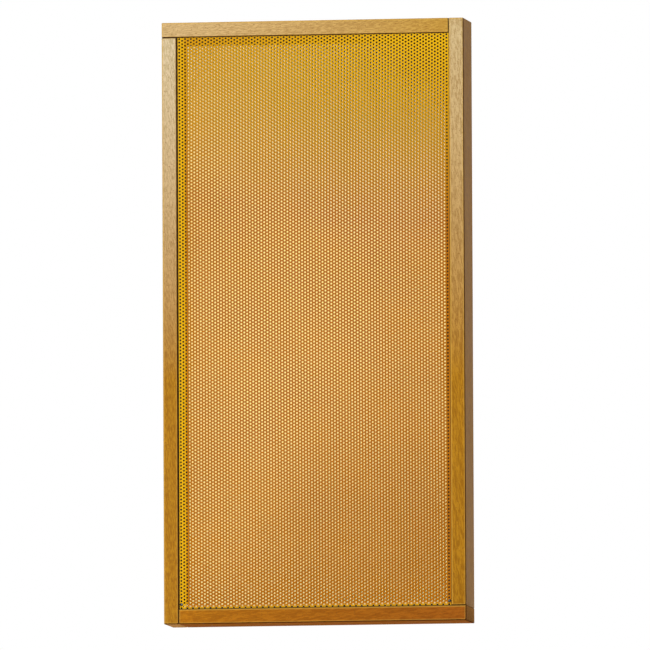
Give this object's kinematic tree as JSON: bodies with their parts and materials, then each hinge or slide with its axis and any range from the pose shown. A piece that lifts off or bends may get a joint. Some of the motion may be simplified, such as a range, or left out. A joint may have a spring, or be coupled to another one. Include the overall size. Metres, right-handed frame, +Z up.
{
  "type": "framed perforated panel",
  "caption": "Upright wooden box frame with dowelled butt joints, holding a yellow perforated sheet on black spacers in front of a white back board.",
  "frame": {"origin": "middle of the underside of the frame", "axes": "+Z up along the frame's height, +Y from the front to the back, +X to the right seen from the front"},
  "size_m": [0.45, 0.08, 0.888],
  "materials": {
    "frame_wood": "satin lacquered beech",
    "dowel_wood": "bare beech",
    "spacer_wood": "black stain",
    "sheet_lacquer": "golden yellow satin lacquer",
    "back_white": "white-faced hardboard",
    "fixings": "bright zinc"
  },
  "bodies": {
    "root": {"top_bar": "frame_wood", "right_side_bar": "frame_wood", "bottom_bar": "frame_wood", "left_side_bar": "frame_wood", "top_left_dowels": "dowel_wood", "top_right_dowels": "dowel_wood", "bottom_right_dowels": "dowel_wood", "bottom_left_dowels": "dowel_wood", "top_spacer": "spacer_wood", "right_spacer": "spacer_wood", "bottom_spacer": "spacer_wood", "left_spacer": "spacer_wood", "top_spacer_pins": "fixings", "right_spacer_pins": "fixings", "bottom_spacer_pins": "fixings", "left_spacer_pins": "fixings", "perforated_sheet": "sheet_lacquer", "sheet_screws": "fixings", "back_board": "back_white", "back_board_screws": "fixings"}
  },
  "joints": []
}
